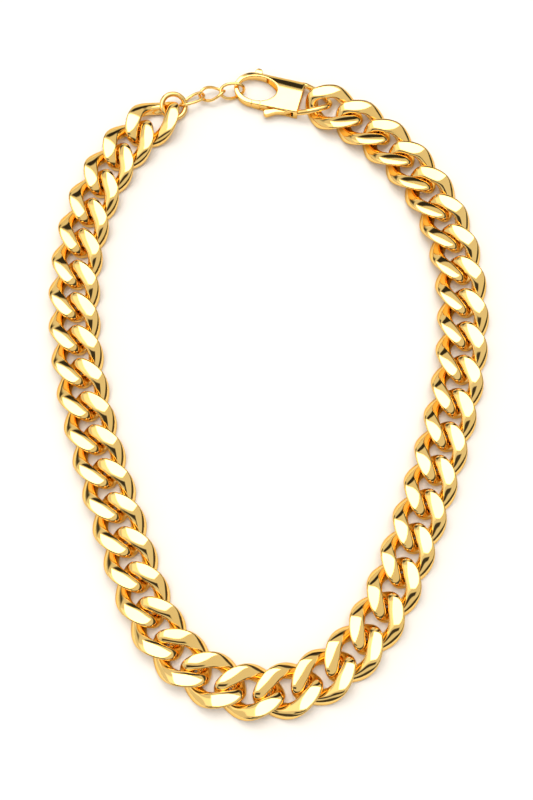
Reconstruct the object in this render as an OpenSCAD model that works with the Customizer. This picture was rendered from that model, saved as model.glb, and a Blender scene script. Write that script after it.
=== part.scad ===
// A heavy curb chain necklace, lying flat in its closed loop.
// Twisted and pressed oval links run round the loop. A rectangular trigger clasp with an end
// loop, three small extender links and an end ring close it at the top.
// The origin is the middle of the base: +Y is towards the clasp, +Z is up.

/* [Node] */
// piece to draw

/* [Curb links] */
// length of one link, end to end
link_length = 18.7; // [17:0.1:20.5]
// width of one link across the chain
link_width = 14.6; // [13.2:0.1:16]
// height that the press flattens the twisted links towards
press_height = 5.5; // [5:0.1:6]
// height of a link's wire before it is twisted
wire_height = 2.8; // [2.4:0.1:3]
// width of a link's wire at its two ends
end_wall = 3.65; // [3.35:0.05:3.95]
// width of a link's wire at its two sides
side_wall = 4.15; // [3.8:0.05:4.5]
// twist of a link, in degrees, from its middle to each end
link_twist = 41; // [39:1:46]
// play of two links in each other, along the chain
link_play = 1.4; // [1.2:0.1:2]

/* [Clasp] */
// length of the clasp body, from the hook's tip to the end with the loop
clasp_length = 20.6; // [18.6:0.1:22.6]
// width of the clasp body
clasp_width = 10.85; // [9.8:0.05:11.9]
// height of the clasp body at its thick end
clasp_height = 4.4; // [4:0.1:4.8]
// height of the hook's tip
hook_top = 2.95; // [2.8:0.05:3.2]
// thickness of the hook's wall at its tip
hook_wall = 1.35; // [1.2:0.05:1.5]
// length of the opening in the hook
opening_length = 11.6; // [10.5:0.1:12.7]
// width of the opening in the hook
opening_width = 8.1; // [7.3:0.1:8.9]
// length of the gate in the hook's wall
gate_length = 2.75; // [2.5:0.05:3]
// diameter of the pin that the lever turns on
pin_diameter = 1.2; // [1:0.1:1.4]
// gap between the pin and the lever, on the radius
pin_gap = 0.06; // [0.04:0.01:0.08]
// height of the lever's plate
lever_height = 1.9; // [1.7:0.1:2.1]
// thickness of the end loop's wire
loop_wire = 1.6; // [1.4:0.1:1.8]
// room in the end loop, lengthwise, beside the wall of the link that it holds
loop_room = 4.05; // [3.6:0.05:4.5]

/* [Extender and end ring] */
// thickness of the end ring's wire
ring_wire = 1.5; // [1.3:0.05:1.7]
// how much wider the end ring's hole is than the wall of the link that it holds
ring_room = 1.95; // [1.7:0.05:2.2]
// thickness of the extender's wire
extender_wire = 0.9; // [0.8:0.02:1]

/* [Hidden] */
link_count = 41;
extender_count = 3;
gold = [0.86, 0.63, 0.22];
cut = 1;                // how far a cutting shape runs past what it cuts
gap = 0.15;             // between the lever and the walls beside it

// curb links: each one's hole holds its neighbours' end walls, pulled apart but for the play
hole_reach = link_length / 2 - end_wall;
link_pitch = 2 * hole_reach - link_play;
lift_arm = (link_width - side_wall) / 2; // from a link's middle to its side wires
// how far from a link's middle its twist reaches the full angle: sooner where the sides are
// close or tall, so that they still pass each other
twist_share = 0.372;
twist_reach = twist_share * link_pitch * lift_arm / wire_height;
// corners of the wire's section, as shares of its half width and half height
link_section = [[1, 0], [0.62, 0.87], [-0.62, 0.87], [-1, 0], [-0.62, -0.87], [0.62, -0.87]];
hole_power = 2.4;       // outline of the hole: 2 is an oval, more is squarer
lip = 1.9;              // how far the pressed faces reach over the hole
lip_angle = 137;        // where on the link they reach furthest
lip_power = 4;
press_limit = press_height / 2;
press_knee = press_limit / 2;
link_stations = 16;
hole_growth = 1 / cos(180 / link_stations); // keeps the flats between stations off the hole

// round wire: stations along it and sides round it
ring_stations = 20;
wire_sides = 6;

// the line of the chain, clockwise from the top: the control points of a smooth closed curve
route = [[1, 100], [29, 88], [50, 64], [57, 34], [54, 4], [45, -23], [36, -49], [24, -72],
    [-1, -84], [-27, -71], [-36, -46], [-45, -20], [-53, 8], [-56, 38], [-50, 69], [-30, 94]];
route_steps = 12;       // samples in each span of the curve
closing_middle = -7.95; // where the middle of the closing lies on the curve as drawn

// end ring
ring_diameter = end_wall + ring_room + 2 * ring_wire;
ring_reach = (ring_diameter - ring_wire) / 2;
ring_lean = [22.5, 26.3];
ring_rise = -0.06;      // the ring's middle above the middle of the curb links

// extender links, from the end ring to the clasp: [half length and half width of the hole,
// lowest point above the floor, lean at each end, slope, power of the outline]
extenders = [
    [[3.35, 1.65], 0.45, [-52.1, -16.6], 1.5, 2.3],
    [[3.30, 1.60], 1.00, [61.2, -54.0], 1.2, 2.2],
    [[3.10, 1.75], 0.05, [17.4, 72.1], -4.1, 2.6]];
function extender_hole(k) = extenders[k - 1][0][0];

// clasp, in its own frame: x runs towards the end loop, y outwards, the origin is its end's middle
half_width = clasp_width / 2;
hook_reach = 6;         // length of the hook's rounded end
hook_centre = hook_reach - clasp_length;
hook_lift = 1.35;       // how far the hook's tip is clear of the floor, for the extender
lift_length = 10.6;
lift_start = lift_length - clasp_length; // the underside rises from here to the tip
opening_reach = opening_length / 2;
opening_centre = hook_wall + opening_reach - clasp_length;
edge_bevel = 0.55;
edge_drop = 0.9;
top_crown = 0.25;
nub_radius = 1.1;
nub_reach = 1.6;        // from the body's edge
nub_tip = half_width + nub_reach;
nub_root = 0.9;
nub_base = 1.1;
nub_height = 1.6;
outline_steps = 48;

// lever, in the clasp's frame
pin_end = 2.6;          // the pin's middle from the body's end and from its edge
pin_side = 1.275;
pin_place = [-pin_end, pin_side - half_width];
pin_root = 0.3;         // how far the pin runs into the body at each end
boss_wall = 0.49;       // round the lever's hole
lever_boss = pin_diameter / 2 + pin_gap + boss_wall;
plate_base = 1.15;
slot_base = plate_base - gap;
slot_height = lever_height + 2 * gap;
gate_start = 2.05;      // from the middle of the opening
seam_root = opening_centre + gate_start; // the gate's seam towards the body
seam_tip = seam_root - gate_length; // the gate's seam towards the hook's tip
boss_room = [0.25, 0.1]; // round the boss, at the end and at the back of the slot
slot_end = pin_place + [1, 1] * lever_boss + boss_room;
// the slot's inner edge by the opening, as shares of the opening's half length and half width
slot_edge = [[1.25, -0.395], [1.13, 0.123], [1.009, 0.593], [0.698, 0.864], [0.319, 1.086]];
slot_outline = concat([[slot_end[0], -half_width - cut], slot_end],
    [for (p = slot_edge) [opening_centre + p[0] * opening_reach, p[1] * opening_width / 2]],
    [[seam_root - cut, 0], [seam_root - cut, -half_width - cut]]);
gate_overlap = 0.8;     // how far the plate runs into the gate
arm_edge = 0.1;         // how far its outer edge lies inside the body's edge
tab_start = 2.5;        // the thumb tab's rounded end, from the seam and from the body's edge
tab_reach = 1.525;
tab_end = [seam_root + tab_start, -half_width - tab_reach];
tab_radius = 0.95;
plate_length = 2.6;     // from the pin to where the tab parts from the plate
tab_notch = pin_place[0] - plate_length;
heel_start = 0.8;       // the tab's other end, from the pin and from the body's edge
heel_reach = 0.5;
tab_back = [pin_place[0] - heel_start, -half_width - heel_reach];

// end loop
loop_inset = 0.725;     // from the body's edge to the middle of the loop's wire
loop_half = half_width - loop_inset;
loop_tip = end_wall + loop_room + loop_wire / 2;
loop_bow = 0.6;
loop_twist = 40;
loop_stations = 20;
loop_root = 0.9;        // how far the loop's ends run into the body

// the closing: pieces hold each other from the first link to the last, with this play along the
// chain; each middle stands so far outside the chain's line and turns so far from it
closing_play = [3.02, 1.22, 0.34, 0.38, 0.42, 0.57];
closing_across = [-0.59, 0.53, 0.59, 0.52, 0.82];
closing_turn = [3.10, 7.57, -2.68, 6.47, 7.63];
closing_steps = [hole_reach + loop_tip - loop_wire / 2, clasp_length - hook_wall + extender_hole(3),
    extender_hole(3) + extender_hole(2), extender_hole(2) + extender_hole(1),
    extender_hole(1) + ring_diameter / 2 - ring_wire, ring_diameter / 2 - ring_wire + hole_reach]
    - closing_play;
hook_across = 2.64;    // the hook's tip outside the chain's line

function link_name(k) = str("curb_link_", k < 10 ? "0" : "", k);
function extender_name(k) = str("extender_link_", k);
function signed_power(v, e) = sign(v) * pow(abs(v), e);
function tanh(v) = (exp(2 * v) - 1) / (exp(2 * v) + 1);

// a height pressed flat towards the limit
function pressed(z) = abs(z) <= press_knee ? z
    : sign(z) * (press_knee + (press_limit - press_knee)
        * tanh((abs(z) - press_knee) / (press_limit - press_knee)));

// the route as a table of lengths and points
function blend(t) = [pow(1 - t, 3), 3 * pow(t, 3) - 6 * t * t + 4,
    -3 * pow(t, 3) + 3 * t * t + 3 * t + 1, pow(t, 3)] / 6;
function route_point(q) = let (n = len(route), i = floor(q), w = blend(q - i))
    w[0] * route[(i - 1 + n) % n] + w[1] * route[i % n]
    + w[2] * route[(i + 1) % n] + w[3] * route[(i + 2) % n];
route_count = len(route) * route_steps;
route_points = [for (i = [0 : route_count]) route_point(i / route_steps)];
route_lengths = [for (i = 0, s = 0; i <= route_count; i = i + 1,
    s = s + (i <= route_count ? norm(route_points[i] - route_points[i - 1]) : 0)) s];
route_length = route_lengths[route_count];
route_x = [for (i = [0 : route_count]) [route_lengths[i], route_points[i][0]]];
route_y = [for (i = [0 : route_count]) [route_lengths[i], route_points[i][1]]];
function on_route(s) = let (m = (s % route_length + route_length) % route_length)
    [lookup(m, route_x), lookup(m, route_y)];

// the drawn curve grows about the middle of the clasp's stretch to hold every link
closing_length = total(closing_steps, len(closing_steps));
necklace_length = (link_count - 1) * link_pitch + closing_length;
route_scale = necklace_length / route_length;
anchor = on_route(closing_middle);
function on_chain(s) = anchor + route_scale * (on_route(closing_middle + s / route_scale) - anchor);
function link_arc(k) = closing_length / 2 + (k - 1) * link_pitch;
function link_centre(k) = on_chain(link_arc(k));
function link_turn(k) = chain_turn(link_arc(k));
function chain_turn(s) = let (d = on_chain(s + link_pitch / 2) - on_chain(s - link_pitch / 2))
    atan2(d[1], d[0]);
function turned(p, a) = [p[0] * cos(a) - p[1] * sin(a), p[0] * sin(a) + p[1] * cos(a)];

// the closing's pieces by number: 1 the clasp's end, 2 to 4 the extender links, 5 the end ring
function total(v, n) = n < 1 ? 0 : v[n - 1] + total(v, n - 1);
function closing_arc(n) = closing_length / 2 - total(closing_steps, n);
function beside(s, across) = on_chain(s) + turned([0, across], chain_turn(s));
function closing_place(n) = beside(closing_arc(n), closing_across[n - 1]);
function closing_angle(n) = chain_turn(closing_arc(n)) + closing_turn[n - 1];
clasp_place = closing_place(1);
clasp_way = clasp_place - beside(closing_arc(1) - clasp_length, hook_across);
clasp_turn = atan2(clasp_way[1], clasp_way[0]);

// one point of a curb link: t goes round the link, corner is one of its wire's section
function link_point(t, corner) = let (
    outer = [link_length / 2 * cos(t), link_width / 2 * sin(t)],
    hole = hole_growth * [hole_reach * signed_power(cos(t), 2 / hole_power),
        (link_width / 2 - side_wall) * signed_power(sin(t), 2 / hole_power)],
    reach = lip * abs(corner[1]) * pow(abs(cos(t - sign(corner[1]) * lip_angle)), lip_power),
    inner = hole * (1 - reach / norm(hole)),
    flat = (outer + inner) / 2 + (outer - inner) / 2 * corner[0],
    height = wire_height / 2 * corner[1],
    turn = -link_twist * flat[0] / twist_reach,
    leant = turned([flat[1], height], turn))
    [flat[0], leant[0], pressed(leant[1])];
link_points = [for (i = [0 : link_stations - 1]) for (corner = link_section)
    link_point(i * 360 / link_stations, corner)];
link_middle = max([for (p = link_points) p[2]]);

// faces of a tube of rings of points: closed to itself, or capped at both ends
function tube_faces(rings, sides, closed) = concat(
    [for (i = [0 : rings - (closed ? 1 : 2)]) for (j = [0 : sides - 1])
        let (a = i * sides + j, b = i * sides + (j + 1) % sides,
            c = ((i + 1) % rings) * sides + (j + 1) % sides, d = ((i + 1) % rings) * sides + j)
        each [[a, b, c], [a, c, d]]],
    closed ? [] : [[for (j = [sides - 1 : -1 : 0]) j],
        [for (j = [0 : sides - 1]) (rings - 1) * sides + j]]);

// points round a wire whose middle runs through the given points
function wire_points(path, radius, closed) = let (n = len(path)) [for (i = [0 : n - 1])
    let (before = closed ? path[(i - 1 + n) % n] : path[max(i - 1, 0)],
        after = closed ? path[(i + 1) % n] : path[min(i + 1, n - 1)],
        along = (after - before) / norm(after - before),
        side = cross(along, [0, 0, 1]) / norm(cross(along, [0, 0, 1])), up = cross(side, along))
    for (j = [0 : wire_sides - 1]) let (u = (j + 0.5) * 360 / wire_sides)
        path[i] + radius * (cos(u) * side + sin(u) * up)];

// the middle line of an oval ring whose two ends lean by different angles
function oval_path(reach, half, lean, slope, power) = [for (i = [0 : ring_stations - 1])
    let (t = i * 360 / ring_stations, x = reach * cos(t), y = half * signed_power(sin(t), 2 / power),
        a = lean[0] + (lean[1] - lean[0]) * (x + reach) / (2 * reach))
    [x, y * cos(a), y * sin(a) + x * tan(slope)]];

// the whole necklace is moved so that the origin lies at the middle of its base
nub_top = clasp_place + turned([hook_centre, nub_tip - nub_radius], clasp_turn) + [0, nub_radius];
placed_links = [for (k = [1 : link_count]) for (p = link_points)
    link_centre(k) + turned([p[0], p[1]], link_turn(k))];
low = [min([for (p = placed_links) p[0]]), min([for (p = placed_links) p[1]])];
high = [max([for (p = placed_links) p[0]]), nub_top[1]];
shift = -(low + high) / 2;

// puts a piece at its place on the floor plan
module placed(place, turn, height = 0) {
    translate([place[0] + shift[0], place[1] + shift[1], height])
        rotate([0, 0, turn])
            children();
}

module curb_link(k) {
    color(gold)
        placed(link_centre(k), link_turn(k), link_middle)
            polyhedron(link_points, tube_faces(link_stations, len(link_section), true));
}

module round_link(path, wire) {
    polyhedron(wire_points(path, wire / 2, true), tube_faces(len(path), wire_sides, true));
}

module end_ring() {
    color(gold)
        placed(closing_place(5), closing_angle(5), link_middle + ring_rise)
            round_link(oval_path(ring_reach, ring_reach, ring_lean, 0, 2), ring_wire);
}

module extender_link(k) {
    e = extenders[k - 1];
    n = len(extenders) + 2 - k;
    path = oval_path(e[0][0] + extender_wire / 2, e[0][1] + extender_wire / 2, e[2], e[3], e[4]);
    color(gold)
        placed(closing_place(n), closing_angle(n),
            e[1] + extender_wire / 2 - min([for (p = path) p[2]]))
            round_link(path, extender_wire);
}

// outline of the clasp body seen from above
module clasp_outline() {
    polygon(concat([[0, -half_width], [0, half_width]],
        [for (i = [0 : outline_steps / 2]) let (t = 90 + i * 360 / outline_steps)
            [hook_centre + hook_reach * cos(t), half_width * sin(t)]]));
}

module clasp_opening() {
    polygon([for (i = [0 : outline_steps - 1]) let (t = i * 360 / outline_steps)
        [opening_centre + opening_reach * cos(t), opening_width / 2 * sin(t)]]);
}

// the body's height from the side: thick at the loop's end, thin and lifted at the hook
module clasp_side() {
    translate([0, half_width + cut, 0])
        rotate([90, 0, 0])
            linear_extrude(clasp_width + 2 * cut)
                polygon([[0, 0], [lift_start, 0], [-clasp_length, hook_lift],
                    [-clasp_length, hook_top], [0, clasp_height]]);
}

// the body's top edges from its end: bevelled, with a slight crown
module clasp_crown() {
    top = clasp_height;
    translate([-clasp_length - cut, 0, 0])
        rotate([90, 0, 90])
            linear_extrude(clasp_length + 2 * cut)
                polygon([[-half_width, 0], [half_width, 0], [half_width, top - edge_drop],
                    [half_width - edge_bevel, top - top_crown], [half_width / 2, top],
                    [-half_width / 2, top], [-half_width + edge_bevel, top - top_crown],
                    [-half_width, top - edge_drop]]);
}

// the room that the lever turns in
module lever_slot() {
    translate([0, 0, slot_base])
        linear_extrude(slot_height)
            polygon(slot_outline);
}

// the gap in the hook that the gate closes
module gate_gap() {
    translate([seam_tip, -half_width - cut, -cut])
        cube([gate_length, half_width + cut - opening_width / 4, clasp_height + 2 * cut]);
}

module nub() {
    translate([hook_centre, nub_tip - nub_radius, nub_base])
        cylinder(h = nub_height, r = nub_radius, $fn = 48);
    translate([hook_centre - nub_radius, half_width - nub_root, nub_base])
        cube([2 * nub_radius, nub_tip - nub_radius - half_width + nub_root, nub_height]);
}

// the closed end of the clasp, a wire loop soldered to the body
module end_loop() {
    path = concat([[-loop_root, loop_half, link_middle]],
        [for (i = [0 : loop_stations]) let (t = 90 - i * 180 / loop_stations,
            x = loop_tip * cos(t), y = loop_half * sin(t) + loop_bow * cos(t),
            a = -loop_twist * x / loop_tip)
            [x, y * cos(a), link_middle + y * sin(a)]],
        [[-loop_root, -loop_half, link_middle]]);
    polyhedron(wire_points(path, loop_wire / 2, false), tube_faces(len(path), wire_sides, false));
}

module clasp_body() {
    color(gold)
        placed(clasp_place, clasp_turn) {
            difference() {
                intersection() {
                    linear_extrude(clasp_height)
                        difference() {
                            clasp_outline();
                            clasp_opening();
                        }
                    clasp_side();
                    clasp_crown();
                }
                lever_slot();
                gate_gap();
            }
            translate([pin_place[0], pin_place[1], slot_base - pin_root])
                cylinder(h = slot_height + 2 * pin_root, r = pin_diameter / 2, $fn = 48);
            nub();
            end_loop();
        }
}

module lever_plate() {
    difference() {
        translate([0, 0, plate_base])
            linear_extrude(lever_height)
                union() {
                    polygon([[pin_place[0], pin_place[1] + lever_boss],
                        [seam_root - gate_overlap, -opening_width / 2],
                        [seam_root - gate_overlap, -half_width + arm_edge],
                        [tab_notch, -half_width + arm_edge], tab_end + [0, tab_radius],
                        tab_end - [0, tab_radius], tab_back,
                        [pin_place[0], pin_place[1] - lever_boss]]);
                    translate(pin_place)
                        circle(lever_boss, $fn = 48);
                    translate(tab_end)
                        circle(tab_radius, $fn = 48);
                }
        translate([pin_place[0], pin_place[1], plate_base - cut])
            cylinder(h = lever_height + 2 * cut, r = pin_diameter / 2 + pin_gap, $fn = 48);
    }
}

// the gate: the piece of the hook's wall between the two seams
module gate() {
    intersection() {
        linear_extrude(clasp_height)
            difference() {
                clasp_outline();
                clasp_opening();
            }
        clasp_side();
        clasp_crown();
        translate([seam_tip + gap, -half_width - cut, 0])
            cube([gate_length - 2 * gap, half_width + cut - opening_width / 4, clasp_height]);
    }
}

module clasp_lever() {
    color(gold)
        placed(clasp_place, clasp_turn) {
            lever_plate();
            gate();
        }
}

for (k = [1 : link_count]) curb_link(k);
end_ring();
for (k = [1 : extender_count]) extender_link(k);
clasp_body();
clasp_lever();
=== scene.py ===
"""A heavy curb chain necklace in polished yellow gold, lying closed on a pale floor.

The pieces are modelled in millimetres and degrees, and brought to the frame's metres when they are
placed. The origin is the middle of the base: +Y is towards the clasp, +Z is up.
"""

from __future__ import annotations

import logging
import math
from dataclasses import dataclass
from enum import Enum
from typing import Any, Callable

import bpy
import numpy as np
from mathutils import Matrix, Vector


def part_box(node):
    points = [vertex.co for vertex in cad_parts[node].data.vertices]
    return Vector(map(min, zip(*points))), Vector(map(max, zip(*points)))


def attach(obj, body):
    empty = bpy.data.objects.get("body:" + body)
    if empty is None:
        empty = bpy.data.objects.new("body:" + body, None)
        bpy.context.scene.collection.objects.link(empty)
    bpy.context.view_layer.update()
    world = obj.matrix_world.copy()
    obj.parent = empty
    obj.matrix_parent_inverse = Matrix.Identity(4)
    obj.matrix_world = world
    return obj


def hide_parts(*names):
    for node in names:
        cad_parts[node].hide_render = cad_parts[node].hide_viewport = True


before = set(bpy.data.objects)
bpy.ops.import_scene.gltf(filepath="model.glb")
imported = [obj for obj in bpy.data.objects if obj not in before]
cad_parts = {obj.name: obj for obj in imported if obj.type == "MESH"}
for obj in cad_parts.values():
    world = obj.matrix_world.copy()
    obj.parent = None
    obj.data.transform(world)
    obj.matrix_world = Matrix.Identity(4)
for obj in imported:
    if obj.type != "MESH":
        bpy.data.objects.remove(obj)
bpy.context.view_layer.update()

MM = 0.001
IMAGE_SIZE = (533, 800)

log = logging.getLogger("necklace")
Point = tuple[float, float]
Span = tuple[float, float, float]
Colour = tuple[float, float, float]


class Cut(Enum):
    """How one solid changes another."""

    REMOVE = "DIFFERENCE"
    KEEP = "INTERSECT"


class Body(Enum):
    """The frame's moving bodies."""

    NECKLACE = "necklace"
    LEVER = "lever"


# Shader nodes


class Wire:
    """One socket of a node tree, for writing shader maths as expressions."""

    def __init__(self, nodes: Nodes, socket: bpy.types.NodeSocket) -> None:
        """Keeps the socket and the tree that it is in."""
        self.nodes = nodes
        self.socket = socket

    def _math(self, operation: str, *values: Any) -> Wire:
        """Adds one Math node over the values."""
        return self.nodes.add("ShaderNodeMath", {"operation": operation}, *values)

    def __add__(self, other: Any) -> Wire:
        """Sum."""
        return self._math("ADD", self, other)

    __radd__ = __add__

    def __sub__(self, other: Any) -> Wire:
        """Difference."""
        return self._math("SUBTRACT", self, other)

    def __rsub__(self, other: Any) -> Wire:
        """Difference, the other way round."""
        return self._math("SUBTRACT", other, self)

    def __mul__(self, other: Any) -> Wire:
        """Product."""
        return self._math("MULTIPLY", self, other)

    __rmul__ = __mul__

    def step(self, start: float, end: float) -> Wire:
        """Rises smoothly from 0 to 1, or falls from 1 to 0 where the start lies above the end.

        Args:
            start: Value at which the result is 0.
            end: Value at which it is 1.

        Returns:
            The eased value.
        """
        settings = {"interpolation_type": "SMOOTHSTEP"}
        return self.nodes.add("ShaderNodeMapRange", settings, self, start, end)

    def band(self, low: float, high: float, soft: float) -> Wire:
        """1 between low and high and 0 outside, with edges that are soft on both sides."""
        return self.step(low - soft, low + soft) * self.step(high + soft, high - soft)


class Nodes:
    """Adds nodes to one tree."""

    MIX_INPUTS = (0, 6, 7)  # a Mix node's share and its two colours
    MIX_OUTPUT = 2  # its mixed colour

    def __init__(self, tree: bpy.types.NodeTree) -> None:
        """Keeps the tree, emptied."""
        self.tree = tree
        tree.nodes.clear()

    def node(self, kind: str, settings: dict[str, Any], *values: Any, **named: Any) -> bpy.types.Node:
        """Adds one node.

        Args:
            kind: The node's type.
            settings: What is set on the node first.
            values: Values or wires of its first sockets, in order.
            named: Values or wires of named sockets, with _ for a space.

        Returns:
            The node.
        """
        node = self.tree.nodes.new(kind)
        for key, value in settings.items():
            setattr(node, key, value)
        pairs = list(zip(node.inputs, values))
        pairs += [(node.inputs[key.replace("_", " ")], value) for key, value in named.items()]
        for socket, value in pairs:
            if isinstance(value, Wire):
                self.tree.links.new(value.socket, socket)
            else:
                socket.default_value = value
        return node

    def add(self, kind: str, settings: dict[str, Any], *values: Any, **named: Any) -> Wire:
        """Adds one node and gives its first output."""
        return Wire(self, self.node(kind, settings, *values, **named).outputs[0])

    def mix(self, share: Wire, first: Colour, second: Colour) -> Wire:
        """Mixes two colours.

        Args:
            share: How much of the second colour is in the mix, from 0 to 1.
            first: The first colour.
            second: The second colour.

        Returns:
            The mixed colour.
        """
        node = self.node("ShaderNodeMix", {"data_type": "RGBA"})
        factor, first_socket, second_socket = (node.inputs[index] for index in self.MIX_INPUTS)
        self.tree.links.new(share.socket, factor)
        first_socket.default_value = (*first, 1.0)
        second_socket.default_value = (*second, 1.0)
        return Wire(self, node.outputs[self.MIX_OUTPUT])


# Finishes


@dataclass(frozen=True)
class PolishedGold:
    """Yellow gold under a jeweller's polish, with faint swirls and a hint of wear."""

    name: str = "polished_gold"
    colour: Colour = (1.0, 0.675, 0.235)
    deep: Colour = (0.99, 0.645, 0.205)
    deep_clouds: Point = (0.3, 0.7)
    rim: Colour = (0.72, 0.44, 0.16)  # keeps the gold yellow where it is seen edge on
    roughness: float = 0.06
    worn_roughness: float = 0.05
    worn_swirls: Point = (0.45, 0.75)
    worn_clouds: Point = (0.35, 0.7)
    cloud_scale: float = 90.0
    cloud_detail: float = 3.0
    swirl_scale: float = 1400.0
    swirl_detail: float = 4.0
    bump_height: float = 0.000004
    bump_strength: float = 0.35

    def material(self) -> bpy.types.Material:
        """Builds the material.

        Returns:
            The material, which reads Object coordinates alone.
        """
        material = bpy.data.materials.new(self.name)
        material.use_nodes = True
        nodes = Nodes(material.node_tree)
        place = Wire(nodes, nodes.node("ShaderNodeTexCoord", {}).outputs["Object"])
        cloud = nodes.add(
            "ShaderNodeTexNoise", {}, Vector=place, Scale=self.cloud_scale, Detail=self.cloud_detail
        )
        swirl = nodes.add(
            "ShaderNodeTexNoise", {}, Vector=place, Scale=self.swirl_scale, Detail=self.swirl_detail
        )
        wear = swirl.step(*self.worn_swirls) * cloud.step(*self.worn_clouds)
        bump = nodes.add(
            "ShaderNodeBump", {}, Strength=self.bump_strength, Distance=self.bump_height, Height=cloud
        )
        shader = nodes.add(
            "ShaderNodeBsdfPrincipled",
            {},
            Base_Color=nodes.mix(cloud.step(*self.deep_clouds), self.colour, self.deep),
            Metallic=1.0,
            Specular_Tint=(*self.rim, 1.0),
            Roughness=wear * self.worn_roughness + self.roughness,
            Normal=bump,
        )
        nodes.node("ShaderNodeOutputMaterial", {}, shader)
        return material


@dataclass(frozen=True)
class PaleBoard:
    """The matt board that the necklace lies on, lit a little from below."""

    name: str = "pale_board"
    colour: Colour = (0.88, 0.85, 0.80)
    roughness: float = 0.65
    glow_colour: Colour = (1.0, 0.99, 0.97)
    glow: float = 0.02

    def material(self) -> bpy.types.Material:
        """Builds the material.

        Returns:
            The material, which is the same all over.
        """
        material = bpy.data.materials.new(self.name)
        material.use_nodes = True
        nodes = Nodes(material.node_tree)
        shader = nodes.add(
            "ShaderNodeBsdfPrincipled",
            {},
            Base_Color=(*self.colour, 1.0),
            Roughness=self.roughness,
            Emission_Color=(*self.glow_colour, 1.0),
            Emission_Strength=self.glow,
        )
        nodes.node("ShaderNodeOutputMaterial", {}, shader)
        return material


@dataclass(frozen=True)
class PaleTent:
    """The light: a pale tent with one bright panel overhead and dark gaps between its sheets.

    All but low_height is laid out on the plan of the sky, which is the x and y of the direction. A pair
    is where an edge begins and where it is complete, and a span is where a strip starts and ends, and
    how softly.
    """

    colour: Colour = (1.0, 0.99, 0.97)
    sheet_light: float = 0.78
    panel_light: float = 3.2
    side_light: float = 0.5
    slant: float = 0.25
    panel_west: Point = (-0.42, -0.38)
    panel_south: Point = (-0.24, -0.18)
    panel_north: Point = (0.61, 0.57)
    panel_corner: Point = (0.2, 0.16)
    side_x: Span = (-0.82, -0.4, 0.02)
    side_y: Span = (-0.3, 0.42, 0.05)
    north_start: Point = (0.64, 0.69)
    north_corner: Point = (0.62, 0.67)
    north_corner_slant: float = 0.4
    north_end: Point = (0.9, 0.84)
    north_end_slant: float = 0.45
    north_depth: float = 0.96
    south_x: Span = (-0.6, 0.12, 0.05)
    south_y: Span = (-0.66, -0.43, 0.03)
    south_depth: float = 0.94
    low_height: Span = (0.0, 0.42, 0.05)
    low_north: Point = (0.9, 0.8)
    low_west: Point = (-0.85, -0.65)
    low_depth: float = 0.92

    def light(self, x: Wire, y: Wire, z: Wire) -> Wire:
        """Works out how bright the tent is.

        Args:
            x: East part of the direction.
            y: North part.
            z: Upward part.

        Returns:
            The strength of the light from that direction.
        """
        slanted = x * self.slant + y
        panel = (
            x.step(*self.panel_west)
            * y.step(*self.panel_south)
            * slanted.step(*self.panel_north)
            * (x - y).step(*self.panel_corner)
        )
        side = x.band(*self.side_x) * y.band(*self.side_y)
        north = (
            slanted.step(*self.north_start)
            * (y - x * self.north_corner_slant).step(*self.north_corner)
            * (y - x * self.north_end_slant).step(*self.north_end)
        )
        south = y.band(*self.south_y) * x.band(*self.south_x)
        low = z.band(*self.low_height) * y.step(*self.low_north) * x.step(*self.low_west)
        gaps = (1.0 - north * self.north_depth) * (1.0 - south * self.south_depth)
        gaps = gaps * (1.0 - low * self.low_depth)
        return (panel * self.panel_light + side * self.side_light + self.sheet_light) * gaps

    def world(self) -> bpy.types.World:
        """Builds the world.

        Returns:
            The world, which lights the scene from all sides.
        """
        world = bpy.data.worlds.new("pale_tent")
        world.use_nodes = True
        nodes = Nodes(world.node_tree)
        way = Wire(nodes, nodes.node("ShaderNodeTexCoord", {}).outputs["Generated"])
        split = nodes.node("ShaderNodeSeparateXYZ", {}, way)
        light = self.light(*(Wire(nodes, split.outputs[axis]) for axis in "XYZ"))
        shine = nodes.add("ShaderNodeBackground", {}, (*self.colour, 1.0), light)
        nodes.node("ShaderNodeOutputWorld", {}, shine)
        return world


# Workshop


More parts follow.
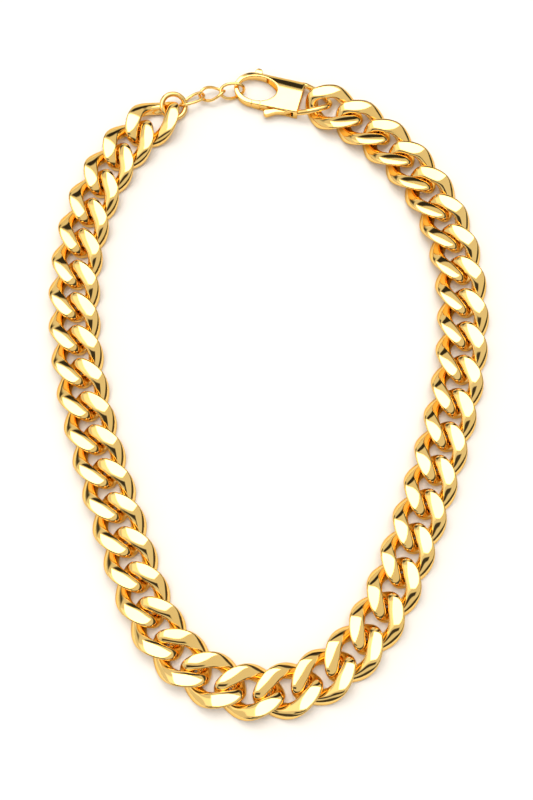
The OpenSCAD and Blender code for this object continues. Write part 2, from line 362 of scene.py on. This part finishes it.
class Bench:
    """Common steps of modelling with Blender's operators."""

    @staticmethod
    def clear_selection() -> None:
        """Leaves edit mode and deselects every object."""
        if bpy.context.object and bpy.context.object.mode != "OBJECT":
            bpy.ops.object.mode_set(mode="OBJECT")
        bpy.ops.object.select_all(action="DESELECT")

    @classmethod
    def pick(cls, *pieces: bpy.types.Object) -> bpy.types.Object:
        """Makes pieces the only ones selected.

        Args:
            pieces: The pieces, with the active one last.

        Returns:
            The active piece.
        """
        cls.clear_selection()
        for piece in pieces:
            piece.select_set(True)
        bpy.context.view_layer.objects.active = pieces[-1]
        return pieces[-1]

    @staticmethod
    def points(piece: bpy.types.Object) -> np.ndarray:
        """Reads a piece's vertices.

        Args:
            piece: The piece.

        Returns:
            Rows of x, y and z.
        """
        rows = np.empty(len(piece.data.vertices) * 3)
        piece.data.vertices.foreach_get("co", rows)
        return rows.reshape(-1, 3)

    @staticmethod
    def set_points(piece: bpy.types.Object, rows: np.ndarray) -> None:
        """Moves a piece's vertices to the rows of x, y and z."""
        piece.data.vertices.foreach_set("co", np.asarray(rows, float).ravel())
        piece.data.update()

    @classmethod
    def modify(cls, piece: bpy.types.Object, kind: str, **settings: Any) -> bpy.types.Object:
        """Adds a modifier and applies it.

        Args:
            piece: The piece.
            kind: The modifier's type.
            settings: What is set on the modifier.

        Returns:
            The piece.
        """
        cls.pick(piece)
        modifier = piece.modifiers.new(kind.lower(), kind)
        for key, value in settings.items():
            setattr(modifier, key, value)
        bpy.ops.object.modifier_apply(modifier=modifier.name)
        return piece

    @classmethod
    def combine(cls, piece: bpy.types.Object, other: bpy.types.Object, cut: Cut) -> bpy.types.Object:
        """Removes or keeps what another solid covers, and deletes that solid.

        Args:
            piece: The piece that is cut.
            other: The solid that it is cut with.
            cut: Which side of the cut stays.

        Returns:
            The piece.
        """
        cls.modify(piece, "BOOLEAN", object=other, operation=cut.value, solver="EXACT")
        bpy.data.objects.remove(other)
        return piece

    @classmethod
    def join(cls, *pieces: bpy.types.Object) -> bpy.types.Object:
        """Makes pieces one mesh.

        Args:
            pieces: The pieces, with the one that stays last.

        Returns:
            The piece that stays.
        """
        piece = cls.pick(*pieces)
        bpy.ops.object.join()
        return piece

    @classmethod
    def torus(cls, stations: int, sides: int, radius: float, wire: float) -> bpy.types.Object:
        """Adds a plain ring to draw a closed form out from.

        Args:
            stations: Sections round the ring.
            sides: Faces round each section.
            radius: Radius of the ring's middle line.
            wire: Radius of its section.

        Returns:
            The ring, with its vertices section by section.
        """
        cls.clear_selection()
        bpy.ops.mesh.primitive_torus_add(
            major_segments=stations, minor_segments=sides, major_radius=radius, minor_radius=wire
        )
        return bpy.context.object

    @classmethod
    def cylinder(cls, radius: float, middle: Point, low: float, high: float, sides: int) -> bpy.types.Object:
        """Adds an upright cylinder.

        Args:
            radius: Its radius.
            middle: Where it stands, seen from above.
            low: Height of its base.
            high: Height of its top.
            sides: Faces round it.

        Returns:
            The cylinder.
        """
        cls.clear_selection()
        bpy.ops.mesh.primitive_cylinder_add(
            vertices=sides, radius=radius, depth=high - low, location=(*middle, (low + high) / 2)
        )
        return bpy.context.object

    @classmethod
    def prism(cls, outline: list[Point], low: float, high: float) -> bpy.types.Object:
        """Makes an upright solid with the given outline.

        Args:
            outline: Corners seen from above, anticlockwise.
            low: Height of its base.
            high: Height of its top.

        Returns:
            The solid, with its faces outwards.
        """
        cls.clear_selection()
        bpy.ops.mesh.primitive_circle_add(vertices=len(outline), fill_type="NGON")
        piece = bpy.context.object
        cls.set_points(piece, np.array([(x, y, low) for x, y in outline]))
        bpy.ops.object.mode_set(mode="EDIT")
        bpy.ops.mesh.select_all(action="SELECT")
        bpy.ops.mesh.extrude_region_move(TRANSFORM_OT_translate={"value": (0.0, 0.0, high - low)})
        bpy.ops.mesh.select_all(action="SELECT")
        bpy.ops.mesh.normals_make_consistent(inside=False)
        bpy.ops.object.mode_set(mode="OBJECT")
        return piece

    @classmethod
    def tube(cls, path: np.ndarray, radius: float, closed: bool, sides: int = 12) -> bpy.types.Object:
        """Bends a round wire along a path.

        Args:
            path: Points of the wire's middle line.
            radius: Radius of the wire.
            closed: Whether the wire meets its own start.
            sides: Faces round the wire, an even number.

        Returns:
            The wire as a mesh.
        """
        curve = bpy.data.curves.new("wire", "CURVE")
        curve.dimensions = "3D"
        curve.bevel_depth = radius
        curve.bevel_resolution = sides // 2 - 2
        curve.use_fill_caps = not closed
        spline = curve.splines.new("POLY")
        spline.points.add(len(path) - 1)
        for point, place in zip(spline.points, path):
            point.co = (*place, 1.0)
        spline.use_cyclic_u = closed
        piece = bpy.data.objects.new("wire", curve)
        bpy.context.scene.collection.objects.link(piece)
        cls.pick(piece)
        bpy.ops.object.convert(target="MESH")
        return bpy.context.object

    @classmethod
    def smooth(cls, piece: bpy.types.Object, crease: float | None = None) -> bpy.types.Object:
        """Shades a piece smooth.

        Args:
            piece: The piece.
            crease: Angle past which an edge stays sharp; with none, no edge does.

        Returns:
            The piece.
        """
        cls.pick(piece)
        if crease is None:
            bpy.ops.object.shade_smooth()
        else:
            bpy.ops.object.shade_smooth_by_angle(angle=math.radians(crease))
        return piece


@dataclass
class Jeweller:
    """Puts finished pieces into the frame."""

    gold: bpy.types.Material

    def set_piece(self, piece: bpy.types.Object, name: str, node: str, body: Body) -> None:
        """Names a placed piece, gives it its gold and ties it to the frame.

        Args:
            piece: The piece, in metres and at its place.
            name: Its name.
            node: The node of the frame that it stands for.
            body: The body that it rides on.
        """
        piece.name = piece.data.name = name
        piece.data.materials.clear()
        piece.data.materials.append(self.gold)
        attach(piece, body.value)
        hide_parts(node)
        log.info("%s: %d faces on %s", name, len(piece.data.polygons), body.value)


def middle_of(node: str) -> Vector:
    """The middle of a node's box, in millimetres."""
    low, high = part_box(node)
    return (low + high) / 2 / MM


def signed_power(values: np.ndarray, power: float) -> np.ndarray:
    """Raises sizes to a power and keeps their signs."""
    return np.sign(values) * np.abs(values) ** power


def arc(centre: Point, radius: float, start: float, end: float, steps: int) -> list[Point]:
    """Draws a round stretch of an outline.

    Args:
        centre: Middle of the circle.
        radius: Its radius.
        start: Angle of the first point, anticlockwise from +x.
        end: Angle of the last point.
        steps: Number of sides between them.

    Returns:
        The stretch's points.
    """
    turns = np.radians(np.linspace(start, end, steps + 1))
    return [(centre[0] + radius * math.cos(turn), centre[1] + radius * math.sin(turn)) for turn in turns]


# The chain


@dataclass
class CurbChain:
    """Forty-one equal curb links: oval rings, twisted and then pressed flat.

    A link turns by its twist over each twist_reach of its length. The lip is metal that closes in on
    the hole, most at lip_angle round the ring on the upper side, and at its mirror image on the lower.
    The press acts from press_start of its half height.
    """

    count: int = 41
    length: float = 18.7
    width: float = 14.6
    end_wall: float = 3.65
    side_wall: float = 4.15
    wire_height: float = 3.2
    section_power: float = 2.0
    hole_power: float = 2.4
    lip: float = 2.4
    lip_angle: float = 137.0
    lip_power: int = 4
    twist: float = 41.0
    twist_reach: float = 6.94
    press_height: float = 5.5
    press_start: float = 0.35
    stations: int = 112
    sides: int = 32

    def ring(self) -> bpy.types.Object:
        """Draws the flat oval ring out from a plain one.

        Returns:
            The ring before its twist, about its own middle.
        """
        around = (self.length + self.width) / 4
        wire = self.wire_height / 2
        piece = Bench.torus(self.stations, self.sides, around, wire)
        rows = Bench.points(piece)
        reach = np.hypot(rows[:, 0], rows[:, 1]) - around
        t = np.arctan2(rows[:, 1], rows[:, 0])
        u = np.arctan2(rows[:, 2], reach)
        outer = np.stack([self.length / 2 * np.cos(t), self.width / 2 * np.sin(t)], 1)
        hole = np.stack(
            [
                (self.length / 2 - self.end_wall) * signed_power(np.cos(t), 2 / self.hole_power),
                (self.width / 2 - self.side_wall) * signed_power(np.sin(t), 2 / self.hole_power),
            ],
            1,
        )
        lip_turn = math.radians(self.lip_angle)
        above = np.abs(np.cos(t - lip_turn)) ** self.lip_power
        below = np.abs(np.cos(t + lip_turn)) ** self.lip_power
        lip = np.where(np.sin(u) > 0, above, below) * np.abs(np.sin(u)) * self.lip
        hole *= (1 - lip / np.linalg.norm(hole, axis=1))[:, None]
        across = signed_power(np.cos(u), 2 / self.section_power)[:, None]
        flat = (outer + hole) / 2 + (outer - hole) / 2 * across
        height = wire * signed_power(np.sin(u), 2 / self.section_power)
        Bench.set_points(piece, np.column_stack([flat, height]))
        return piece

    def pressed(self, heights: np.ndarray) -> np.ndarray:
        """Eases heights towards the press's two plates.

        Args:
            heights: Heights above the link's middle.

        Returns:
            The heights after the press, none past half the press height.
        """
        limit = self.press_height / 2
        start = limit * self.press_start
        over = np.abs(heights) - start
        eased = start + (limit - start) * np.tanh(over / (limit - start))
        return np.where(over > 0, np.sign(heights) * eased, heights)

    def model(self) -> bpy.types.Object:
        """Twists and presses the ring.

        Returns:
            One finished link about its own middle, in millimetres.
        """
        piece = Bench.modify(
            self.ring(),
            "SIMPLE_DEFORM",
            deform_method="TWIST",
            deform_axis="X",
            angle=-math.radians(self.twist) * self.length / self.twist_reach,
        )
        rows = Bench.points(piece)
        rows[:, 2] = self.pressed(rows[:, 2])
        Bench.set_points(piece, rows)
        return Bench.smooth(piece)

    @staticmethod
    def place(node: str) -> Matrix:
        """Finds where a link lies, from the two tips of its node.

        Args:
            node: The link's node.

        Returns:
            The matrix from millimetres about the link's middle to the frame.
        """
        rows = Bench.points(bpy.data.objects[node])
        first = rows[np.argmax(np.hypot(*(rows - rows.mean(0))[:, :2].T))]
        second = rows[np.argmax(np.hypot(*(rows - first)[:, :2].T))]
        if first[0] + first[1] > second[0] + second[1]:
            first, second = second, first
        way = second - first
        turn = Matrix.Rotation(math.atan2(way[1], way[0]), 4, "Z")
        return Matrix.Translation(Vector((first + second) / 2)) @ turn @ Matrix.Scale(MM, 4)

    def build(self, jeweller: Jeweller) -> None:
        """Models one link and lays its copies round the loop.

        Args:
            jeweller: Who sets each link.
        """
        pattern = self.model()
        for number in range(1, self.count + 1):
            piece = bpy.data.objects.new(f"gold_link_{number:02d}", pattern.data.copy())
            bpy.context.scene.collection.objects.link(piece)
            node = f"curb_link_{number:02d}"
            piece.data.transform(self.place(node))
            jeweller.set_piece(piece, piece.name, node, Body.NECKLACE)
        bpy.data.objects.remove(pattern)


@dataclass
class FineRing:
    """An oval ring of round wire.

    It leans by the first angle at the low end of x and by the second at the high end, and climbs by
    its slope. Its turn is anticlockwise from above.
    """

    name: str
    node: str
    half_length: float
    half_width: float
    wire: float
    turn: float
    lean: Point
    slope: float = 0.0
    power: float = 2.0
    stations: int = 72

    def path(self) -> np.ndarray:
        """Draws the wire's middle line.

        Returns:
            Rows of x, y and z about the ring's middle, with its length along x.
        """
        t = np.arange(self.stations) * 2 * math.pi / self.stations
        x = self.half_length * np.cos(t)
        y = self.half_width * signed_power(np.sin(t), 2 / self.power)
        share = (x + self.half_length) / (2 * self.half_length)
        lean = np.radians(self.lean[0] + (self.lean[1] - self.lean[0]) * share)
        rise = x * math.tan(math.radians(self.slope))
        return np.stack([x, y * np.cos(lean), y * np.sin(lean) + rise], 1)

    def build(self, jeweller: Jeweller) -> None:
        """Bends the wire, and puts the middle of the ring's box on its node's.

        Args:
            jeweller: Who sets the ring.
        """
        piece = Bench.smooth(Bench.tube(self.path(), self.wire / 2, closed=True))
        piece.data.transform(Matrix.Rotation(math.radians(self.turn), 4, "Z"))
        rows = Bench.points(piece)
        shift = middle_of(self.node) - Vector((rows.min(0) + rows.max(0)) / 2)
        piece.data.transform(Matrix.Translation(shift))
        piece.data.transform(Matrix.Scale(MM, 4))
        jeweller.set_piece(piece, self.name, self.node, Body.NECKLACE)


def end_ring() -> FineRing:
    """The bold ring at the chain's free end."""
    half = 3.55
    return FineRing("gold_end_ring", "end_ring", half, half, wire=1.5, turn=37.5, lean=(22.5, 26.3))


def extender() -> list[FineRing]:
    """Lists the extender's links.

    Returns:
        The three links, from the end ring to the clasp.
    """
    columns = ("half_length", "half_width", "turn", "lean", "slope", "power")
    shapes = (
        (3.80, 2.10, 28.6, (-52.1, -16.6), 1.5, 2.3),
        (3.75, 2.05, 11.5, (61.2, -54.0), 1.2, 2.2),
        (3.55, 2.20, 14.4, (17.4, 72.1), -4.1, 2.6),
    )
    return [
        FineRing(f"gold_extender_{number}", f"extender_link_{number}", wire=0.9, **dict(zip(columns, shape)))
        for number, shape in enumerate(shapes, 1)
    ]


# The clasp


@dataclass(frozen=True)
class RoundedEdge:
    """An edge of the clasp's body: its line, by turn and inset, and the radius that rounds it."""

    line: Callable[[np.ndarray, float], np.ndarray]
    radius: float


@dataclass
class TriggerClasp:
    """A rectangular trigger clasp: hook, nub, end loop, and a lever on a pin.

    Its own frame has x towards the end loop and y outwards, from its end's middle. The hook is at the
    low end of x, and the lever at the low side of y. The top falls away from its middle line, by
    dome_slope at most and by edge_slope more from dome_edge of the half width on, and less towards
    the hook and on the lever's side.
    """

    length: float = 20.6
    width: float = 10.85
    height: float = 4.4
    turn: float = -14.5
    past: float = 1.0  # how far a cutting solid reaches past the metal

    hook_reach: float = 6.0
    hook_wall: float = 1.35
    hook_top: float = 2.95
    hook_lift: float = 1.35
    lift_length: float = 10.6
    opening: Point = (11.6, 8.1)
    corner_turn: float = 35.0
    outer_round: float = 0.3
    hole_round: float = 0.42

    dome_slope: float = 0.5
    dome_edge: float = 0.8
    edge_slope: float = 0.6
    edge_power: float = 1.6
    dome_reach: float = 15.0
    hook_dome: float = 0.35
    lower_dome: float = 0.4

    nub_reach: float = 1.6
    nub_radius: float = 1.1
    nub_root: float = 0.9
    nub_heights: Point = (1.1, 2.7)

    pin: Point = (-2.6, -4.15)
    pin_radius: float = 0.6
    pin_gap: float = 0.06
    pin_seat: float = 0.3  # how far the pin runs into the metal over and under the slot
    slot: Point = (1.0, 3.2)
    slot_end: float = -1.2
    slot_back: float = -2.9
    slot_curve: tuple[Point, ...] = ((-6.2, -1.6), (-6.9, 0.5), (-7.6, 2.4), (-9.4, 3.5), (-11.6, 4.4))

    seam_root: float = -11.4
    gate_length: float = 2.75
    gate_back: float = -2.0
    gate_gap: float = 0.2
    plate: Point = (1.15, 3.05)
    plate_root: float = 0.8
    plate_inset: float = 0.1
    boss_radius: float = 0.95
    shoulder: float = -6.9
    tab_neck: Point = (-8.0, -5.75)
    tab_end: Point = (-8.9, -6.95)
    tab_radius: float = 0.95
    tab_turn: Point = (110.0, 290.0)
    waist: tuple[Point, ...] = ((-7.3, -7.0), (-6.2, -6.35), (-5.0, -6.0), (-3.7, -5.75))

    loop_reach: float = 8.5
    loop_half: float = 4.7
    loop_wire: float = 1.7
    loop_power: float = 2.4
    loop_bow: float = 0.6
    loop_twist: float = 40.0
    loop_height: float = 2.64
    loop_root: float = 0.9

    edge: float = 0.2
    edge_steps: int = 4
    edge_crease: float = 38.0
    crease: float = 35.0
    wire_crease: float = 60.0
    doubles: float = 0.002
    section_steps: int = 32
    round_steps: int = 4
    top_steps: int = 21
    base_stride: int = 4
    pin_sides: int = 48
    nub_steps: int = 24
    arc_steps: int = 18
    loop_steps: int = 48

    @property
    def half(self) -> float:
        """Half the body's width."""
        return self.width / 2

    @property
    def hook_centre(self) -> float:
        """Where the hook's rounded end starts, along x."""
        return self.hook_reach - self.length

    def outer_line(self, turn: np.ndarray, inset: float) -> np.ndarray:
        """Draws the body's outline, moved inwards.

        Args:
            turn: Angles about the opening, with the corners at corner_turn on either side.
            inset: How far inside the outline.

        Returns:
            Rows of x and y.
        """
        centre, half = self.hook_centre, self.half - inset
        corner = math.radians(self.corner_turn)
        tip = centre + (self.hook_reach - inset) * np.cos(turn)
        along = centre + (-inset - centre) * (math.pi / 2 - np.abs(turn)) / (math.pi / 2 - corner)
        x = np.where(np.cos(turn) < 0, tip, np.where(np.abs(turn) > corner, along, -inset))
        y = np.where(np.cos(turn) < 0, half * np.sin(turn), half * np.clip(turn / corner, -1, 1))
        return np.stack([x, y], 1)

    def hole_line(self, turn: np.ndarray, inset: float) -> np.ndarray:
        """Draws the oval opening's line, moved into the metal.

        Args:
            turn: Angles about the opening.
            inset: How far inside the metal.

        Returns:
            Rows of x and y.
        """
        centre = self.hook_wall + self.opening[0] / 2 - self.length
        x = centre + (self.opening[0] / 2 + inset) * np.cos(turn)
        return np.stack([x, (self.opening[1] / 2 + inset) * np.sin(turn)], 1)

    def top_at(self, flat: np.ndarray) -> np.ndarray:
        """Works out the top, which slopes down to the hook and is domed where it is thick.

        Args:
            flat: Rows of x and y.

        Returns:
            The top's height at each row.
        """
        slope = self.height + (self.hook_top - self.height) * -flat[:, 0] / self.length
        share = np.clip(np.abs(flat[:, 1]) / self.half, 0, 1)
        edge = np.clip((share - self.dome_edge) / (1 - self.dome_edge), 0, 1)
        crown = self.dome_slope * share**3 / 3
        crown += self.edge_slope * (1 - self.dome_edge) * edge**self.edge_power / self.edge_power
        crown *= np.where(flat[:, 1] > 0, 1.0, self.lower_dome)
        fade = np.clip(1.0 + flat[:, 0] / self.dome_reach, 0.0, 1.0)
        return slope - self.half * crown * (self.hook_dome + (1.0 - self.hook_dome) * fade)

    def base_at(self, flat: np.ndarray) -> np.ndarray:
        """Works out the underside, which is flat and then rises to the hook's tip.

        Args:
            flat: Rows of x and y.

        Returns:
            The underside's height at each row.
        """
        run = self.length - self.lift_length
        return self.hook_lift * np.clip((-flat[:, 0] - run) / self.lift_length, 0, 1)

    def section_turns(self) -> np.ndarray:
        """Spaces the body's sections round the opening.

        Returns:
            Their angles, with both corners and both starts of the hook's end among them.
        """
        corner, side = math.radians(self.corner_turn), math.pi / 2
        stretches = (
            (-corner, corner, self.section_steps),
            (corner, side, self.section_steps),
            (side, 3 * side, 2 * self.section_steps),
            (-side, -corner, self.section_steps),
        )
        turns = np.concatenate([np.linspace(*stretch, endpoint=False) for stretch in stretches])
        return np.where(turns > math.pi, turns - 2 * math.pi, turns)

    def rounding(self, turns: np.ndarray, edge: RoundedEdge, upper: bool) -> list[np.ndarray]:
        """Rounds one edge.

        Args:
            turns: Angles of the sections.
            edge: The edge.
            upper: Whether it is the edge of the top, not of the underside.

        Returns:
            For each step from the wall to the flat, rows of x, y and z.
        """
        rows = []
        for angle in np.linspace(0.0, math.pi / 2, self.round_steps + 1):
            flat = edge.line(turns, edge.radius * (1 - math.cos(angle)))
            sink = edge.radius * (1 - math.sin(angle))
            height = self.top_at(flat) - sink if upper else self.base_at(flat) + sink
            rows.append(np.column_stack([flat, height]))
        return rows

    def span(self, turns: np.ndarray, first: RoundedEdge, last: RoundedEdge, upper: bool) -> list[np.ndarray]:
        """Spans the top or the underside from edge to edge.

        Args:
            turns: Angles of the sections.
            first: The edge that it starts from.
            last: The edge that it runs to.
            upper: Whether it is the top.

        Returns:
            For each step between the two roundings, rows of x, y and z.
        """
        rows = []
        start, end = first.line(turns, first.radius), last.line(turns, last.radius)
        stride = 1 if upper else self.base_stride
        for share in np.linspace(0.0, 1.0, self.top_steps + 1)[1:-1:stride]:
            flat = start + (end - start) * share
            rows.append(np.column_stack([flat, self.top_at(flat) if upper else self.base_at(flat)]))
        return rows

    def blank(self) -> bpy.types.Object:
        """Draws the body without its cuts out from a plain ring.

        Returns:
            The blank, with rounded edges.
        """
        turns = self.section_turns()
        outer = RoundedEdge(self.outer_line, self.outer_round)
        hole = RoundedEdge(self.hole_line, self.hole_round)
        rows = self.rounding(turns, outer, upper=True)
        rows += self.span(turns, outer, hole, upper=True)
        rows += self.rounding(turns, hole, upper=True)[::-1]
        rows += self.rounding(turns, hole, upper=False)
        rows += self.span(turns, hole, outer, upper=False)
        rows += self.rounding(turns, outer, upper=False)[::-1]
        piece = Bench.torus(len(turns), len(rows), self.half, self.hook_wall)
        Bench.set_points(piece, np.stack(rows, 1).reshape(-1, 3))
        return piece

    def slot_outline(self) -> list[Point]:
        """Draws the room that the lever turns in.

        Returns:
            Its corners seen from above.
        """
        outside, root = -self.half - self.past, self.seam_root - self.past
        end = [(root, outside), (self.slot_end, outside), (self.slot_end, self.slot_back)]
        return [*end, *self.slot_curve, (root, 0.0)]

    def gate_room(self, gap: float) -> bpy.types.Object:
        """Makes the upright block that the gate fills in the body's side.

        Args:
            gap: How far the block stays short of both seams.

        Returns:
            The block.
        """
        tip, root = self.seam_root - self.gate_length + gap, self.seam_root - gap
        outside = -self.half - self.past
        outline = [(tip, outside), (root, outside), (root, self.gate_back), (tip, self.gate_back)]
        return Bench.prism(outline, -self.past, self.height + 2 * self.past)

    def rounded(self, piece: bpy.types.Object) -> bpy.types.Object:
        """Rounds a solid's edges and shades it.

        Args:
            piece: The solid.

        Returns:
            The same solid.
        """
        Bench.pick(piece)
        bpy.ops.object.mode_set(mode="EDIT")
        bpy.ops.mesh.select_all(action="SELECT")
        bpy.ops.mesh.remove_doubles(threshold=self.doubles)
        bpy.ops.object.mode_set(mode="OBJECT")
        Bench.modify(
            piece,
            "BEVEL",
            width=self.edge,
            segments=self.edge_steps,
            limit_method="ANGLE",
            angle_limit=math.radians(self.edge_crease),
            use_clamp_overlap=False,
        )
        return Bench.smooth(piece, self.edge_crease)

    def nub(self) -> bpy.types.Object:
        """Makes the rounded nub on the hook's outer side.

        Returns:
            The nub.
        """
        root, tip = self.half - self.nub_root, self.half + self.nub_reach - self.nub_radius
        sides = [(self.hook_centre - self.nub_radius, root), (self.hook_centre + self.nub_radius, root)]
        end = arc((self.hook_centre, tip), self.nub_radius, 0.0, 180.0, self.nub_steps)
        return self.rounded(Bench.prism([*sides, *end], *self.nub_heights))

    def end_loop(self) -> bpy.types.Object:
        """Bends the wire loop that is soldered to the body's corners.

        Returns:
            The loop.
        """
        t = math.pi / 2 - np.linspace(0.0, math.pi, self.loop_steps + 1)
        x = self.loop_reach * np.cos(t)
        y = self.loop_half * signed_power(np.sin(t), 2 / self.loop_power) + self.loop_bow * np.cos(t)
        lean = np.radians(-self.loop_twist * x / self.loop_reach)
        path = np.stack([x, y * np.cos(lean), self.loop_height + y * np.sin(lean)], 1)
        roots = [(-self.loop_root, side * self.loop_half, self.loop_height) for side in (1.0, -1.0)]
        wire = Bench.tube(np.vstack([roots[0], path, roots[1]]), self.loop_wire / 2, closed=False)
        return Bench.smooth(wire, self.wire_crease)

    def body(self) -> bpy.types.Object:
        """Makes the clasp's body.

        Returns:
            The body with its pin, nub and end loop.
        """
        low, high = self.slot
        piece = Bench.combine(self.blank(), Bench.prism(self.slot_outline(), low, high), Cut.REMOVE)
        Bench.combine(piece, self.gate_room(0.0), Cut.REMOVE)
        Bench.smooth(piece, self.crease)
        base, top = low - self.pin_seat, high + self.pin_seat
        pin = Bench.cylinder(self.pin_radius, self.pin, base, top, self.pin_sides)
        Bench.smooth(pin, self.crease)
        return Bench.join(pin, self.end_loop(), self.nub(), piece)

    def plate_outline(self) -> list[Point]:
        """Draws the lever's plate with its boss, its waist and its rounded thumb tab.

        Returns:
            Its corners seen from above, anticlockwise from the boss.
        """
        root, side = self.seam_root - self.plate_root, -self.half + self.plate_inset
        boss = arc(self.pin, self.boss_radius, -90.0, 90.0, self.arc_steps)
        back = [(root, -self.opening[1] / 2), (root, side), (self.shoulder, side), self.tab_neck]
        tab = arc(self.tab_end, self.tab_radius, *self.tab_turn, self.arc_steps)
        return [*boss, *back, *tab, *self.waist]

    def lever(self) -> bpy.types.Object:
        """Makes the trigger.

        Returns:
            The plate, bored for the pin, with its gate.
        """
        gate = Bench.combine(self.blank(), self.gate_room(self.gate_gap), Cut.KEEP)
        Bench.smooth(gate, self.crease)
        bore = Bench.cylinder(
            self.pin_radius + self.pin_gap, self.pin, -self.past, self.height + self.past, self.pin_sides
        )
        plate = Bench.combine(Bench.prism(self.plate_outline(), *self.plate), bore, Cut.REMOVE)
        return Bench.join(gate, self.rounded(plate))

    def place(self, body: bpy.types.Object) -> Matrix:
        """Finds where the clasp lies, by putting the middle of its body's box on its node's.

        Args:
            body: The body, in its own frame.

        Returns:
            The matrix from the clasp's own frame to the frame.
        """
        turn = Matrix.Rotation(math.radians(self.turn), 4, "Z")
        rows = Bench.points(body) @ np.array(turn.to_3x3()).T
        middle, flat = middle_of("clasp_body"), (rows.min(0) + rows.max(0)) / 2
        shift = Matrix.Translation((middle.x - flat[0], middle.y - flat[1], 0.0))
        return Matrix.Scale(MM, 4) @ shift @ turn

    def build(self, jeweller: Jeweller) -> None:
        """Models both pieces and puts them in their places.

        Args:
            jeweller: Who sets them.
        """
        body, lever = self.body(), self.lever()
        move = self.place(body)
        body.data.transform(move)
        lever.data.transform(move)
        jeweller.set_piece(body, "gold_clasp", "clasp_body", Body.NECKLACE)
        jeweller.set_piece(lever, "gold_lever", "clasp_lever", Body.LEVER)


# The studio


@dataclass
class Studio:
    """The camera at the photograph's angle, a pale board and soft light; lengths in metres."""

    distance: float = 0.375170
    elevation: float = 72.0
    aim: tuple[float, float, float] = (-0.000416, -0.009004, 0.0025)
    focal_pixels: float = 1354.3655
    sensor_height: float = 24.0
    clip_start: float = 0.01
    board_side: float = 3.0

    def camera(self) -> None:
        """Sets the camera up."""
        angle = math.radians(self.elevation)
        data = bpy.data.cameras.new("camera")
        data.sensor_fit = "VERTICAL"
        data.sensor_height = self.sensor_height
        data.lens = self.sensor_height * self.focal_pixels / IMAGE_SIZE[1]
        data.clip_start = self.clip_start
        camera = bpy.data.objects.new("camera", data)
        bpy.context.scene.collection.objects.link(camera)
        back = Vector((0.0, -math.cos(angle), math.sin(angle))) * self.distance
        camera.location = Vector(self.aim) + back
        camera.rotation_euler = (math.pi / 2 - angle, 0.0, 0.0)
        bpy.context.scene.camera = camera

    def board(self) -> None:
        """Lays the board."""
        Bench.clear_selection()
        bpy.ops.mesh.primitive_plane_add(size=self.board_side)
        board = bpy.context.object
        board.name = "pale_board"
        board.data.materials.append(PaleBoard().material())

    def build(self) -> None:
        """Builds the whole studio."""
        self.camera()
        self.board()
        bpy.context.scene.world = PaleTent().world()
        bpy.context.scene.view_settings.view_transform = "Standard"


def main() -> None:
    """Builds the studio and the necklace."""
    logging.basicConfig(level=logging.INFO, format="%(name)s: %(message)s")
    Studio().build()
    jeweller = Jeweller(PolishedGold().material())
    for part in (CurbChain(), end_ring(), *extender(), TriggerClasp()):
        part.build(jeweller)


if __name__ == "__main__":
    main()
